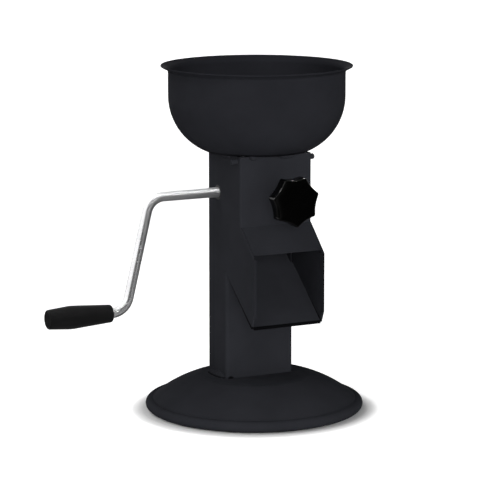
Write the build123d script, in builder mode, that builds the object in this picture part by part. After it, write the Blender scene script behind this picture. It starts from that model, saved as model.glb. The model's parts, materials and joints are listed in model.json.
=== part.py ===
"""Hand-crank nutcracker: a bowl on a box column, a ribbed rotor turned by a crank, and a jaw set by a star knob.

Millimetres. The origin is the middle of the underside, +Z is up, the chute opens towards -Y and the crank is at -X.
"""
import os
from math import acos, atan2, cos, hypot, radians, sin, sqrt, tan

from build123d import *

# Base: pressed dome with a rolled edge, closed by a steel disc with a rubber mat
base_radius = 89.5
base_height = 29.4
base_sheet = 2.5
roll_radius = 4.5
roll_lift = 0.8
roll_return_angle = 130.0
crease_inset = 1.5
dome_bulge = 2.5
plateau_margin = 3.9
bottom_plate_thickness = 2.0
bottom_plate_gap = 0.2
mat_thickness = 2.0
mat_inset = 0.8

# Column: upright box section, set back from the middle of the base
column_width = 61.0
column_depth = 34.0
column_height = 186.1
column_wall = 2.0
column_corner = 3.0
column_setback = 6.8
foot_weld_width = 2.6
foot_weld_height = 5.0
foot_weld_length = 29.0

# Head and chute: sheet cheeks, a front plate with a hood, and a ramp
sheet = 1.5
head_depth = 28.1
head_corner = 1.4
side_lap = 6.65
crease_drop = 56.5
cheek_reach = 23.0
cheek_drop = 21.9
hood_setback = 3.0
hood_gap = 0.2
ramp_angle = 40.0
lip_drop = 134.5
lip_setback = 2.8
cheek_chamfer_y = 4.0
cheek_chamfer_z = 9.2
hem_width = 5.0
hem_end_gap = 0.5
ramp_gap = 0.2

# Hopper bowl: flat bottom, round shoulder, upright wall and a flared rim
bowl_radius = 71.6
bowl_axis_y = -4.5
bowl_sheet = 1.2
bowl_curve_radius = 48.0
bowl_curve_height = 44.5
bowl_wall_height = 19.1
flare_radius = 2.5
flare_angle = 63.0
rim_width = 4.8
throat_margin = 2.0
throat_corner = 8.0
bowl_weld_leg = 3.5
front_left_weld_length = 7.0
front_left_weld_place = -20.5
front_right_weld_length = 15.0
front_right_weld_place = 9.5
side_weld_length = 14.0
side_weld_setback = 12.0
rear_weld_length = 24.0

# Crank: one bent rod in two flanged bushes, with a rotor pinned on it
rod_radius = 4.0
rod_chamfer = 0.6
rod_end_stand = 1.6
shaft_drop = 34.0
crank_reach = 60.4
crank_throw = 91.2
crank_splay = 22.2
crank_bend_radius = 15.0
running_clearance = 0.05
bush_radius = 6.0
bush_flange_radius = 8.5
bush_flange_thickness = 1.5
rotor_core_radius = 9.8
rotor_rib_height = 2.2
rotor_rib_count = 10
rotor_rib_root = 4.6
rotor_rib_tip = 2.4
rotor_rib_sink = 0.8
rotor_rear_gap = 4.6
rotor_end_gap = 0.3
rotor_pin_radius = 2.0
rotor_pin_inset = 0.5
seat_clearance = 0.02

# Grip: double-taper barrel that turns on the end of the rod
grip_start = 12.8
grip_length = 54.8
grip_swell_place = 35.2
grip_inner_radius = 7.1
grip_swell_radius = 9.5
grip_outer_radius = 7.8
grip_edge = 1.2
grip_swell_round = 40.0
grip_bore_clearance = 0.08
grip_pocket_radius = 6.0
grip_pocket_depth = 8.0
retainer_radius = 5.6
retainer_thickness = 1.0
retainer_gap = 0.4
rod_past_retainer = 1.2
plug_thickness = 3.0
plug_inset = 0.4
plug_edge = 0.6

# Jaw: toothed plate hanging on a pin through the cheeks
pin_radius = 2.3
pin_stand = 5.4
pin_chamfer = 0.5
jaw_eye_radius = 3.7
jaw_eye_front_gap = 1.2
jaw_eye_top_gap = 0.4
jaw_width = 54.0
jaw_length = 50.0
jaw_thickness = 3.2
jaw_tooth_height = 1.3
jaw_tooth_pitch = 5.0
jaw_tooth_count = 7
spacer_gap = 0.2

# Adjuster: screw with a star knob, a nut on the front plate and a domed pad
screw_drop = 33.0
screw_radius = 4.0
screw_chamfer = 0.6
screw_nose_radius = 2.5
screw_nose_length = 1.5
screw_hole_clearance = 0.3
thread_clearance = 0.08
nut_across_flats = 13.0
nut_thickness = 4.0
pad_back_off = 2.1
pad_dome_radius = 7.0
pad_thickness = 3.8
pad_jaw_gap = 0.15
pad_end_gap = 0.1
knob_radius = 20.4
knob_thickness = 10.1
knob_lobe_count = 7
knob_lobe_angle = 66.8
knob_lobe_radius = 2.2
knob_scallop_depth = 2.75
knob_edge = 1.4
knob_hub_radius = 9.0
knob_hub_length = 10.7
knob_standoff = 15.0
knob_grip_on_screw = 16.0

# Heights: the head hangs from the top of the column
top_z = base_height + column_height
shaft_z = top_z - shaft_drop
screw_z = top_z - screw_drop
pivot_z = top_z - jaw_eye_top_gap - jaw_eye_radius
crease_z = top_z - crease_drop
lip_z = top_z - lip_drop

# Places across the column and the head
column_half = column_width / 2
column_inner_half = column_half - column_wall
head_half = column_half + sheet
column_front_y = column_setback - column_depth / 2
column_rear_y = column_setback + column_depth / 2
column_rear_inner_y = column_rear_y - column_wall
front_outer_y = column_front_y - head_depth
front_inner_y = front_outer_y + sheet
cheek_front_y = front_outer_y - cheek_reach
cheek_rear_y = column_front_y + side_lap
rotor_tip_radius = rotor_core_radius + rotor_rib_height
shaft_y = column_rear_inner_y - rotor_rear_gap - rotor_tip_radius
pivot_y = front_inner_y + jaw_eye_front_gap + jaw_eye_radius

# Hood: its outer face is flush with the cheeks' sloping edges, and its inner face lies one sheet inside
hood_slope = atan2(cheek_drop, cheek_reach)


def hood_outer_z(y):
    """Height of the hood's outer face at a depth y."""
    return crease_z + (y - front_outer_y) * tan(hood_slope)


hood_tip_y = cheek_front_y + hood_setback
hood_tip = (hood_tip_y, hood_outer_z(hood_tip_y))
hood_tip_inner = (hood_tip[0] + sheet * sin(hood_slope), hood_tip[1] - sheet * cos(hood_slope))
hood_crease_inner = (front_inner_y, hood_outer_z(front_inner_y) - sheet / cos(hood_slope))

# Ramp: straight from the lip up to the column's rear wall
lip_y = cheek_front_y + lip_setback
ramp_rise = tan(radians(ramp_angle))
ramp_depth = sheet / cos(radians(ramp_angle))


def ramp_top_z(y):
    """Height of the ramp's upper face at a depth y."""
    return lip_z + (y - lip_y) * ramp_rise


def ramp_under_z(y):
    """Height of the ramp's lower face at a depth y."""
    return ramp_top_z(y) - ramp_depth


# Adjuster: the pad stands clear of the nut, and the jaw leans back until it meets the pad
nut_face_y = front_inner_y + nut_thickness
pad_back_y = nut_face_y + pad_back_off
pad_dome_y = pad_back_y + pad_thickness - pad_dome_radius
jaw_lever = pivot_z - screw_z
dome_from_pivot = pad_dome_y - pivot_y
jaw_contact = pad_dome_radius + pad_jaw_gap + jaw_thickness / 2
jaw_tilt = acos(-jaw_contact / hypot(dome_from_pivot, jaw_lever)) - atan2(jaw_lever, dome_from_pivot)
knob_hub_y = front_outer_y - knob_standoff
knob_back_y = knob_hub_y - knob_hub_length

# Crank line: shaft, arm and handle spindle
rod_right_x = column_half + rod_end_stand
crank_top_x = -column_half - crank_reach
crank_low_x = crank_top_x - crank_splay
grip_z = shaft_z - crank_throw
grip_inner_x = crank_low_x - grip_start
grip_outer_x = grip_inner_x - grip_length
grip_swell_x = grip_inner_x - grip_swell_place
pocket_x = grip_outer_x + grip_pocket_depth
retainer_x = pocket_x - retainer_gap
rod_left_x = retainer_x - retainer_thickness - rod_past_retainer

os.makedirs("parts", exist_ok=True)


def save(piece, name):
    """Labels a finished piece and writes its file."""
    piece.part.label = name
    export_step(piece.part, f"parts/{name}.step")


# Base dome: one pressed sheet from the flat top out to the rolled edge
roll_r = base_radius - roll_radius
roll_z = roll_lift + roll_radius
roll_inner_radius = roll_radius - base_sheet
crease_r = roll_r - crease_inset
crease_height = roll_z + sqrt(roll_radius**2 - crease_inset**2)
column_far_corner = hypot(column_half - column_corner, column_rear_y - column_corner) + column_corner
plateau_radius = column_far_corner + foot_weld_width + plateau_margin
dome_chord = hypot(crease_r - plateau_radius, base_height - crease_height)
dome_radius = (dome_chord**2 / 4 + dome_bulge**2) / (2 * dome_bulge)
dome_fall = atan2(base_height - crease_height, crease_r - plateau_radius)
dome_centre_r = (crease_r + plateau_radius) / 2 - (dome_radius - dome_bulge) * sin(dome_fall)
dome_centre_z = (crease_height + base_height) / 2 - (dome_radius - dome_bulge) * cos(dome_fall)


def dome_inside(r, z):
    """Point of the dome's inner face under a point of its outer face."""
    share = (dome_radius - base_sheet) / dome_radius
    return (dome_centre_r + (r - dome_centre_r) * share, dome_centre_z + (z - dome_centre_z) * share)


dome_middle_r = dome_centre_r + dome_radius * sin(dome_fall)
dome_middle_z = dome_centre_z + dome_radius * cos(dome_fall)
plateau_inside = dome_inside(plateau_radius, base_height)
return_r = roll_r + roll_inner_radius * cos(radians(roll_return_angle))
return_z = roll_z + roll_inner_radius * sin(radians(roll_return_angle))

with BuildPart() as base_dome:
    with BuildSketch(Plane.XZ):
        with BuildLine():
            Line((0, base_height), (plateau_radius, base_height))
            ThreePointArc(
                (plateau_radius, base_height), (dome_middle_r, dome_middle_z), (crease_r, crease_height)
            )
            ThreePointArc((crease_r, crease_height), (base_radius, roll_z), (roll_r, roll_lift))
            Line((roll_r, roll_lift), (roll_r, roll_lift + base_sheet))
            ThreePointArc(
                (roll_r, roll_lift + base_sheet), (roll_r + roll_inner_radius, roll_z), (return_r, return_z)
            )
            Line((return_r, return_z), dome_inside(crease_r, crease_height))
            ThreePointArc(
                dome_inside(crease_r, crease_height), dome_inside(dome_middle_r, dome_middle_z), plateau_inside
            )
            Line(plateau_inside, (0, plateau_inside[1]))
            Line((0, plateau_inside[1]), (0, base_height))
        make_face()
    revolve(axis=Axis.Z)
save(base_dome, "base_dome")

# Bottom plate: disc that closes the dome inside its rolled edge
with BuildPart() as bottom_plate:
    with BuildSketch(Plane.XY.offset(mat_thickness)):
        Circle(roll_r - bottom_plate_gap)
    extrude(amount=bottom_plate_thickness)
save(bottom_plate, "bottom_plate")

# Foot mat: rubber disc that the object stands on
with BuildPart() as foot_mat:
    with BuildSketch():
        Circle(roll_r - mat_inset)
    extrude(amount=mat_thickness)
save(foot_mat, "foot_mat")

# Column: box section with its front wall cut away above the ramp, and a hole for a bush in each side
window_rear_y = column_front_y + column_corner
window_front_y = column_front_y - column_wall
window_top_z = top_z + column_wall

with BuildPart() as column:
    with BuildSketch(Plane.XY.offset(base_height)):
        with Locations((0, column_setback)):
            RectangleRounded(column_width, column_depth, column_corner)
            RectangleRounded(
                2 * column_inner_half,
                column_depth - 2 * column_wall,
                column_corner - column_wall,
                mode=Mode.SUBTRACT,
            )
    extrude(amount=column_height)
    with BuildSketch(Plane.YZ):
        with BuildLine():
            Polyline(
                (window_front_y, ramp_under_z(window_front_y)),
                (window_rear_y, ramp_under_z(window_rear_y)),
                (window_rear_y, window_top_z),
                (window_front_y, window_top_z),
                close=True,
            )
        make_face()
    extrude(amount=column_inner_half, both=True, mode=Mode.SUBTRACT)
    with BuildSketch(Plane.YZ):
        with Locations((shaft_y, shaft_z)):
            Circle(bush_radius + seat_clearance)
    extrude(amount=column_width, both=True, mode=Mode.SUBTRACT)
save(column, "column")

# Foot weld: a bead along each side of the column, on the flat top of the dome
with BuildPart() as column_foot_weld:
    for side in (-1, 1):
        outward = Vector(side, 0, 0)
        along = outward.cross(Vector(0, 0, 1))
        with BuildSketch(Plane((side * column_half, column_setback, base_height), x_dir=outward, z_dir=along)):
            with BuildLine():
                Polyline((0, 0), (0, foot_weld_height), (foot_weld_width, 0), close=True)
            make_face()
        extrude(amount=foot_weld_length / 2, both=True)
save(column_foot_weld, "column_foot_weld")

# Side plates: cheeks of the head and the chute, lapped on the column, with a hem along the chute's front edge
chamfer_y = cheek_front_y + cheek_chamfer_y
chamfer_z = ramp_under_z(chamfer_y) + cheek_chamfer_z
hem_top_z = hood_outer_z(cheek_front_y) - hem_end_gap
lap_foot_z = ramp_under_z(column_front_y)

for side, name in ((-1, "left_side_plate"), (1, "right_side_plate")):
    with BuildPart() as side_plate:
        with BuildSketch(Plane.YZ.offset(side * column_half)):
            with BuildLine():
                Polyline(
                    (front_inner_y, top_z),
                    (front_inner_y, crease_z),
                    (front_outer_y, crease_z),
                    (cheek_front_y, hood_outer_z(cheek_front_y)),
                    (cheek_front_y, chamfer_z),
                    (chamfer_y, ramp_under_z(chamfer_y)),
                    (column_front_y, lap_foot_z),
                    (cheek_rear_y, lap_foot_z),
                    (cheek_rear_y, top_z),
                    close=True,
                )
            make_face()
            with Locations((pivot_y, pivot_z)):
                Circle(pin_radius + seat_clearance, mode=Mode.SUBTRACT)
        extrude(amount=side * sheet)
        with BuildSketch(Plane.YZ.offset(side * column_half)):
            with BuildLine():
                Polyline(
                    (cheek_front_y, chamfer_z),
                    (cheek_front_y + hem_width, chamfer_z),
                    (cheek_front_y + hem_width, hem_top_z),
                    (cheek_front_y, hem_top_z),
                    close=True,
                )
            make_face()
        extrude(amount=-side * sheet)
    save(side_plate, name)

# Front plate: upright sheet with rounded sides, bent forward at the foot into a hood between the cheeks
with BuildPart() as front_plate:
    with BuildSketch(Plane.XY.offset(crease_z)) as front_section:
        with Locations((0, (front_outer_y + front_inner_y) / 2)):
            Rectangle(2 * head_half, sheet)
        fillet(front_section.vertices().group_by(Axis.Y)[0], head_corner)
    extrude(amount=crease_drop)
    with BuildSketch(Plane.YZ):
        with BuildLine():
            Polyline(
                (front_outer_y, crease_z),
                hood_tip,
                hood_tip_inner,
                hood_crease_inner,
                (front_inner_y, crease_z),
                close=True,
            )
        make_face()
    extrude(amount=column_half - hood_gap, both=True)
    with BuildSketch(Plane.XZ.offset(-front_inner_y)):
        with Locations((0, screw_z)):
            Circle(screw_radius + screw_hole_clearance)
    extrude(amount=sheet, mode=Mode.SUBTRACT)
save(front_plate, "front_plate")

# Chute ramp: wide between the cheeks, with a narrower tongue that reaches the column's rear wall
ramp_rear_y = column_rear_inner_y - ramp_gap
ramp_half = column_half - ramp_gap
tongue_half = column_inner_half - ramp_gap
tongue_y = column_front_y - ramp_gap
tongue_corner = column_corner - column_wall - ramp_gap

with BuildPart() as chute_ramp:
    for y_low, y_high, half in ((lip_y, tongue_y, ramp_half), (tongue_y, ramp_rear_y, tongue_half)):
        with BuildSketch(Plane.YZ):
            with BuildLine():
                Polyline(
                    (y_low, ramp_under_z(y_low)),
                    (y_high, ramp_under_z(y_high)),
                    (y_high, ramp_top_z(y_high)),
                    (y_low, ramp_top_z(y_low)),
                    close=True,
                )
            make_face()
        extrude(amount=half, both=True)
    fillet(chute_ramp.edges().filter_by(Axis.Z).group_by(Axis.Y)[-1], tongue_corner)
save(chute_ramp, "chute_ramp")

# Hopper bowl: one spun sheet, with an oblong throat cut in its flat bottom
bowl_plane = Plane.XZ.offset(-bowl_axis_y)
bowl_axis = Axis((0, bowl_axis_y, 0), (0, 0, 1))
curve_r = bowl_radius - bowl_curve_radius
curve_z = top_z + bowl_curve_height
flare_r = bowl_radius + flare_radius
flare_z = curve_z + bowl_wall_height
flare_turn = radians(flare_angle)


def bowl_curve_points(depth):
    """Foot, middle and top of the round shoulder, on the face that lies this deep in the sheet."""
    radius = bowl_curve_radius - depth
    foot_angle = acos((bowl_curve_height - depth) / radius)
    middle_angle = radians(90.0) / 2 + foot_angle / 2
    foot = (curve_r + radius * sin(foot_angle), top_z + depth)
    middle = (curve_r + radius * sin(middle_angle), curve_z - radius * cos(middle_angle))
    return foot, middle, (curve_r + radius, curve_z)


def flare_points(depth):
    """Foot, middle and end of the flare, on the face that lies this deep in the sheet."""
    radius = flare_radius + depth
    return [
        (flare_r - radius * cos(turn), flare_z + radius * sin(turn)) for turn in (0, flare_turn / 2, flare_turn)
    ]


outer_foot, outer_middle, outer_top = bowl_curve_points(0)
inner_foot, inner_middle, inner_top = bowl_curve_points(bowl_sheet)
outer_flare = flare_points(0)
inner_flare = flare_points(bowl_sheet)
outer_rim = (outer_flare[2][0] + rim_width * sin(flare_turn), outer_flare[2][1] + rim_width * cos(flare_turn))
inner_rim = (inner_flare[2][0] + rim_width * sin(flare_turn), inner_flare[2][1] + rim_width * cos(flare_turn))
rim_edge = (
    (outer_rim[0] + inner_rim[0] + bowl_sheet * sin(flare_turn)) / 2,
    (outer_rim[1] + inner_rim[1] + bowl_sheet * cos(flare_turn)) / 2,
)
throat_front_y = pivot_y + jaw_eye_radius + throat_margin
throat_rear_y = column_rear_inner_y - throat_margin

with BuildPart() as hopper_bowl:
    with BuildSketch(bowl_plane):
        with BuildLine():
            Line((0, top_z), outer_foot)
            ThreePointArc(outer_foot, outer_middle, outer_top)
            Line(outer_top, outer_flare[0])
            ThreePointArc(*outer_flare)
            Line(outer_flare[2], outer_rim)
            ThreePointArc(outer_rim, rim_edge, inner_rim)
            Line(inner_rim, inner_flare[2])
            ThreePointArc(*reversed(inner_flare))
            Line(inner_flare[0], inner_top)
            ThreePointArc(inner_top, inner_middle, inner_foot)
            Line(inner_foot, (0, top_z + bowl_sheet))
            Line((0, top_z + bowl_sheet), (0, top_z))
        make_face()
    revolve(axis=bowl_axis)
    with BuildSketch(Plane.XY.offset(top_z)):
        with Locations((0, (throat_front_y + throat_rear_y) / 2)):
            RectangleRounded(
                2 * (column_inner_half - throat_margin), throat_rear_y - throat_front_y, throat_corner
            )
    extrude(amount=bowl_sheet, mode=Mode.SUBTRACT)
save(hopper_bowl, "hopper_bowl")

# Hopper welds: short beads under the bowl, two in front and one on each other side
bead_places = [
    ((front_left_weld_place, front_outer_y, top_z), (0, -1, 0), front_left_weld_length),
    ((front_right_weld_place, front_outer_y, top_z), (0, -1, 0), front_right_weld_length),
    ((-head_half, cheek_rear_y - side_weld_setback, top_z), (-1, 0, 0), side_weld_length),
    ((head_half, cheek_rear_y - side_weld_setback, top_z), (1, 0, 0), side_weld_length),
    ((0, column_rear_y, top_z), (0, 1, 0), rear_weld_length),
]

with BuildPart() as hopper_weld_beads:
    for place, outward, length in bead_places:
        along = Vector(*outward).cross(Vector(0, 0, 1))
        with BuildSketch(Plane(place, x_dir=outward, z_dir=along)):
            with BuildLine():
                Polyline((0, 0), (0, -bowl_weld_leg), (bowl_weld_leg, 0), close=True)
            make_face()
        extrude(amount=length / 2, both=True)
save(hopper_weld_beads, "hopper_weld_beads")

# Shaft bushes: the sleeve fills the column's wall and the flange lies inside it
for side, name in ((-1, "left_bush"), (1, "right_bush")):
    with BuildPart() as bush:
        with BuildSketch(Plane.YZ.offset(side * column_inner_half)):
            with Locations((shaft_y, shaft_z)):
                Circle(bush_radius)
        extrude(amount=side * column_wall)
        with BuildSketch(Plane.YZ.offset(side * column_inner_half)):
            with Locations((shaft_y, shaft_z)):
                Circle(bush_flange_radius)
        extrude(amount=-side * bush_flange_thickness)
        with BuildSketch(Plane.YZ):
            with Locations((shaft_y, shaft_z)):
                Circle(rod_radius + running_clearance)
        extrude(amount=side * column_width, mode=Mode.SUBTRACT)
    save(bush, name)

# Crank rod: one rod bent twice, with a cross hole for the rotor's pin
shaft_place = Plane((0, shaft_y, shaft_z))

with BuildPart() as crank_rod:
    with BuildLine(Plane.XZ.offset(-shaft_y)) as rod_line:
        FilletPolyline(
            (rod_right_x, shaft_z),
            (crank_top_x, shaft_z),
            (crank_low_x, grip_z),
            (rod_left_x, grip_z),
            radius=crank_bend_radius,
        )
    with BuildSketch(Plane(rod_line.line @ 0, z_dir=rod_line.line % 0)):
        Circle(rod_radius)
    sweep()
    rod_ends = crank_rod.faces().filter_by(GeomType.PLANE)
    chamfer(rod_ends.edges(), rod_chamfer)
    with BuildSketch(shaft_place):
        Circle(rotor_pin_radius + seat_clearance)
    extrude(amount=rotor_tip_radius, both=True, mode=Mode.SUBTRACT)
save(crank_rod, "crank_rod")

# Rotor: core with straight ribs, and a cross hole that comes out between two ribs
rotor_half = column_inner_half - bush_flange_thickness - rotor_end_gap
rib_start_angle = 90.0 + 180.0 / rotor_rib_count

with BuildPart() as rotor:
    with BuildSketch(Plane((0, shaft_y, shaft_z), x_dir=(0, 1, 0), z_dir=(1, 0, 0))):
        Circle(rotor_core_radius)
        with PolarLocations(rotor_core_radius, rotor_rib_count, start_angle=rib_start_angle):
            Polygon(
                (-rotor_rib_sink, -rotor_rib_root / 2),
                (rotor_rib_height, -rotor_rib_tip / 2),
                (rotor_rib_height, rotor_rib_tip / 2),
                (-rotor_rib_sink, rotor_rib_root / 2),
                align=None,
            )
        Circle(rod_radius + seat_clearance, mode=Mode.SUBTRACT)
    extrude(amount=rotor_half, both=True)
    with BuildSketch(shaft_place):
        Circle(rotor_pin_radius + seat_clearance)
    extrude(amount=rotor_tip_radius, both=True, mode=Mode.SUBTRACT)
save(rotor, "rotor")

# Rotor pin: locks the rotor to the rod, and ends below the rotor's face
with BuildPart() as rotor_pin:
    with BuildSketch(shaft_place):
        Circle(rotor_pin_radius)
    extrude(amount=rotor_core_radius - rotor_pin_inset, both=True)
save(rotor_pin, "rotor_pin")

# Grip: barrel that swells towards its outer end, with a pocket there for the retainer and the plug
spindle_plane = Plane.XZ.offset(-shaft_y)
spindle_axis = Axis((0, shaft_y, grip_z), (1, 0, 0))

with BuildPart() as grip:
    with BuildSketch(spindle_plane) as grip_section:
        with BuildLine():
            Polyline(
                (grip_inner_x, grip_z),
                (grip_inner_x, grip_z + grip_inner_radius),
                (grip_swell_x, grip_z + grip_swell_radius),
                (grip_outer_x, grip_z + grip_outer_radius),
                (grip_outer_x, grip_z),
                close=True,
            )
        make_face()
        fillet(grip_section.vertices().group_by(Axis.Y)[-1], grip_swell_round)
        outline = grip_section.vertices().filter_by(lambda v: v.Y > grip_inner_radius / 2)
        fillet([outline.sort_by(Axis.X)[0], outline.sort_by(Axis.X)[-1]], grip_edge)
    revolve(axis=spindle_axis)
    with BuildSketch(Plane((grip_outer_x, shaft_y, grip_z), x_dir=(0, 1, 0), z_dir=(1, 0, 0))):
        Circle(rod_radius + grip_bore_clearance)
    extrude(amount=grip_length, mode=Mode.SUBTRACT)
    with BuildSketch(Plane((grip_outer_x, shaft_y, grip_z), x_dir=(0, 1, 0), z_dir=(1, 0, 0))):
        Circle(grip_pocket_radius)
    extrude(amount=grip_pocket_depth, mode=Mode.SUBTRACT)
save(grip, "grip")

# Grip retainer: push-on washer near the end of the rod
with BuildPart() as grip_retainer:
    with BuildSketch(Plane((retainer_x, shaft_y, grip_z), x_dir=(0, 1, 0), z_dir=(-1, 0, 0))):
        Circle(retainer_radius)
        Circle(rod_radius + seat_clearance, mode=Mode.SUBTRACT)
    extrude(amount=retainer_thickness)
save(grip_retainer, "grip_retainer")

# Grip end plug: round-edged disc pressed into the grip's pocket
with BuildPart() as grip_end_plug:
    with BuildSketch(Plane((grip_outer_x + plug_inset, shaft_y, grip_z), x_dir=(0, 1, 0), z_dir=(1, 0, 0))):
        Circle(grip_pocket_radius - seat_clearance)
    extrude(amount=plug_thickness)
    fillet(grip_end_plug.faces().sort_by(Axis.X)[0].edges(), plug_edge)
save(grip_end_plug, "grip_end_plug")

# Pivot pin: hangs the jaw, and stands out of both cheeks
pin_half = head_half + pin_stand

with BuildPart() as jaw_pivot_pin:
    with BuildSketch(Plane.YZ):
        with Locations((pivot_y, pivot_z)):
            Circle(pin_radius)
    extrude(amount=pin_half, both=True)
    chamfer(jaw_pivot_pin.edges().filter_by(GeomType.CIRCLE), pin_chamfer)
save(jaw_pivot_pin, "jaw_pivot_pin")

# Pivot spacers: rings that centre the jaw between the cheeks
jaw_half = jaw_width / 2

with BuildPart() as pivot_spacers:
    for side in (-1, 1):
        with BuildSketch(Plane.YZ.offset(side * (jaw_half + spacer_gap))):
            with Locations((pivot_y, pivot_z)):
                Circle(jaw_eye_radius)
                Circle(pin_radius + running_clearance, mode=Mode.SUBTRACT)
        extrude(amount=side * (column_half - jaw_half - spacer_gap))
save(pivot_spacers, "pivot_spacers")

# Jaw plate: rolled eye, flat plate and a row of teeth that faces the rotor
jaw_plane = Plane(
    (0, pivot_y, pivot_z), x_dir=(0, cos(jaw_tilt), sin(jaw_tilt)), z_dir=(1, 0, 0)
)
tooth_bottom = -jaw_length

with BuildPart() as jaw_plate:
    with BuildSketch(jaw_plane):
        Circle(jaw_eye_radius)
        with BuildLine():
            Polyline(
                (-jaw_thickness / 2, 0),
                (-jaw_thickness / 2, -jaw_length),
                (jaw_thickness / 2, -jaw_length),
                (jaw_thickness / 2, 0),
                close=True,
            )
        make_face()
        for tooth in range(jaw_tooth_count):
            foot = tooth_bottom + tooth * jaw_tooth_pitch
            with BuildLine():
                Polyline(
                    (0, foot),
                    (jaw_thickness / 2, foot),
                    (jaw_thickness / 2 + jaw_tooth_height, foot + jaw_tooth_pitch / 2),
                    (jaw_thickness / 2, foot + jaw_tooth_pitch),
                    (0, foot + jaw_tooth_pitch),
                    close=True,
                )
            make_face()
        Circle(pin_radius + running_clearance, mode=Mode.SUBTRACT)
    extrude(amount=jaw_half, both=True)
save(jaw_plate, "jaw_plate")

# Screw nut: hexagon welded inside the front plate
with BuildPart() as screw_nut:
    with BuildSketch(Plane.XZ.offset(-nut_face_y)):
        with Locations((0, screw_z)):
            RegularPolygon(nut_across_flats / 2, 6, major_radius=False)
            Circle(screw_radius + thread_clearance, mode=Mode.SUBTRACT)
    extrude(amount=nut_thickness)
save(screw_nut, "screw_nut")

# Pressure pad: domed foot on the screw's nose
screw_axis = Axis((0, 0, screw_z), (0, 1, 0))
pad_rim_radius = sqrt(pad_dome_radius**2 - (pad_dome_radius - pad_thickness) ** 2)
dome_middle = pad_dome_radius / sqrt(2.0)
pad_socket_y = pad_back_y + screw_nose_length

with BuildPart() as pressure_pad:
    with BuildSketch(Plane.XY.offset(screw_z)):
        with BuildLine():
            Line((0, pad_back_y), (pad_rim_radius, pad_back_y))
            ThreePointArc(
                (pad_rim_radius, pad_back_y),
                (dome_middle, pad_dome_y + dome_middle),
                (0, pad_dome_y + pad_dome_radius),
            )
            Line((0, pad_dome_y + pad_dome_radius), (0, pad_back_y))
        make_face()
    revolve(axis=screw_axis)
    with BuildSketch(Plane.XZ.offset(-pad_socket_y)):
        with Locations((0, screw_z)):
            Circle(screw_nose_radius + running_clearance)
    extrude(amount=screw_nose_length, mode=Mode.SUBTRACT)
save(pressure_pad, "pressure_pad")

# Adjusting screw: spindle from inside the knob to the pad, with a turned nose
screw_shoulder_y = pad_back_y - pad_end_gap
screw_head_y = knob_hub_y - knob_grip_on_screw

with BuildPart() as adjusting_screw:
    with BuildSketch(Plane.XZ.offset(-screw_shoulder_y)):
        with Locations((0, screw_z)):
            Circle(screw_radius)
    extrude(amount=screw_shoulder_y - screw_head_y)
    chamfer(adjusting_screw.faces().sort_by(Axis.Y)[-1].edges(), screw_chamfer)
    with BuildSketch(Plane.XZ.offset(-screw_shoulder_y)):
        with Locations((0, screw_z)):
            Circle(screw_nose_radius)
    extrude(amount=-screw_nose_length)
save(adjusting_screw, "adjusting_screw")

# Star knob: lobed head on a round hub, moulded on the screw
scallop_floor = knob_radius - knob_scallop_depth
half_step = radians(180.0 / knob_lobe_count)
lobe_x = (knob_radius - knob_lobe_radius) * cos(half_step)
lobe_y = (knob_radius - knob_lobe_radius) * sin(half_step)
floor_ahead = scallop_floor - lobe_x
scallop_radius = (floor_ahead**2 + lobe_y**2 - knob_lobe_radius**2) / (2 * (knob_lobe_radius - floor_ahead))
join_share = knob_lobe_radius / (knob_lobe_radius + scallop_radius)
join_x = lobe_x + (floor_ahead + scallop_radius) * join_share
join_y = lobe_y * (1 - join_share)
join_radius = hypot(join_x, join_y)
join_angle = half_step - atan2(join_y, join_x)


def knob_point(radius, angle):
    """Point of the knob's outline at a radius and an angle."""
    return (radius * cos(angle), screw_z + radius * sin(angle))


with BuildPart() as star_knob:
    with BuildSketch(Plane.XZ.offset(-knob_back_y)):
        with BuildLine():
            for lobe in range(knob_lobe_count):
                tip_angle = radians(knob_lobe_angle) + 2 * half_step * lobe
                floor_angle = tip_angle + half_step
                lobe_start = knob_point(join_radius, tip_angle - join_angle)
                lobe_end = knob_point(join_radius, tip_angle + join_angle)
                next_start = knob_point(join_radius, tip_angle + 2 * half_step - join_angle)
                ThreePointArc(lobe_start, knob_point(knob_radius, tip_angle), lobe_end)
                ThreePointArc(lobe_end, knob_point(scallop_floor, floor_angle), next_start)
        make_face()
    extrude(amount=knob_thickness)
    fillet(star_knob.faces().sort_by(Axis.Y)[0].edges(), knob_edge)
    with BuildSketch(Plane.XZ.offset(-knob_hub_y)):
        with Locations((0, screw_z)):
            Circle(knob_hub_radius)
    extrude(amount=knob_hub_length)
    with BuildSketch(Plane.XZ.offset(-knob_hub_y)):
        with Locations((0, screw_z)):
            Circle(screw_radius + seat_clearance)
    extrude(amount=knob_grip_on_screw, mode=Mode.SUBTRACT)
save(star_knob, "star_knob")
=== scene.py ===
"""Looks of a crank nutcracker: satin paint, weld beads, polished crank, threaded adjuster and a studio."""

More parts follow.
